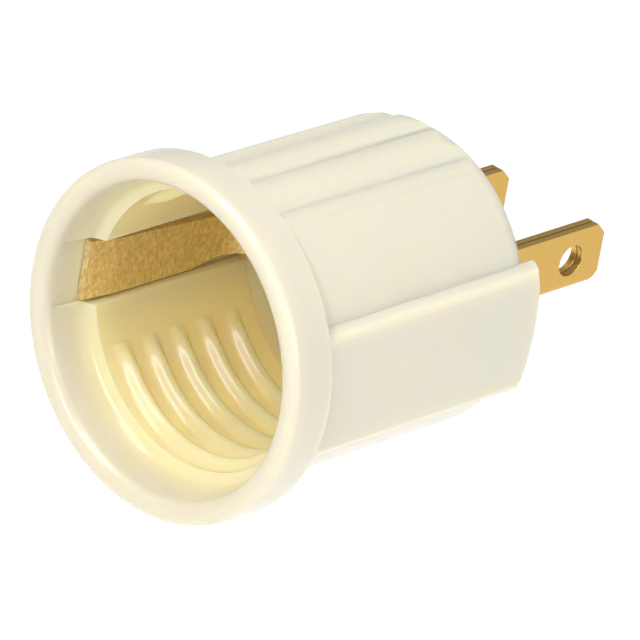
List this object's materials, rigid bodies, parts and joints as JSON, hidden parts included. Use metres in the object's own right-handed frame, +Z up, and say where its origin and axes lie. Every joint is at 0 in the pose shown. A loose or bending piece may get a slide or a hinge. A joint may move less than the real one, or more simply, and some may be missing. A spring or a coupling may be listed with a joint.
{
  "type": "plug-in lamp holder",
  "caption": "Ivory screw-base lamp socket with two folded brass blades that plugs straight into a mains outlet.",
  "frame": {"origin": "centre of the back face, which lies against the outlet, midway between the two blades", "axes": "+Y along the socket's axis, out of the back face along the blades; +Z up, across the width of the blades; +X from the neutral blade to the line blade"},
  "size_m": [0.0348, 0.0534, 0.0348],
  "materials": {
    "ivory_moulding": "satin moulded ivory plastic",
    "contact_brass": "rolled brass sheet with fine drag lines"
  },
  "bodies": {
    "root": {"socket_body": "ivory_moulding", "neutral_contact": "contact_brass", "line_contact": "contact_brass"}
  },
  "joints": []
}
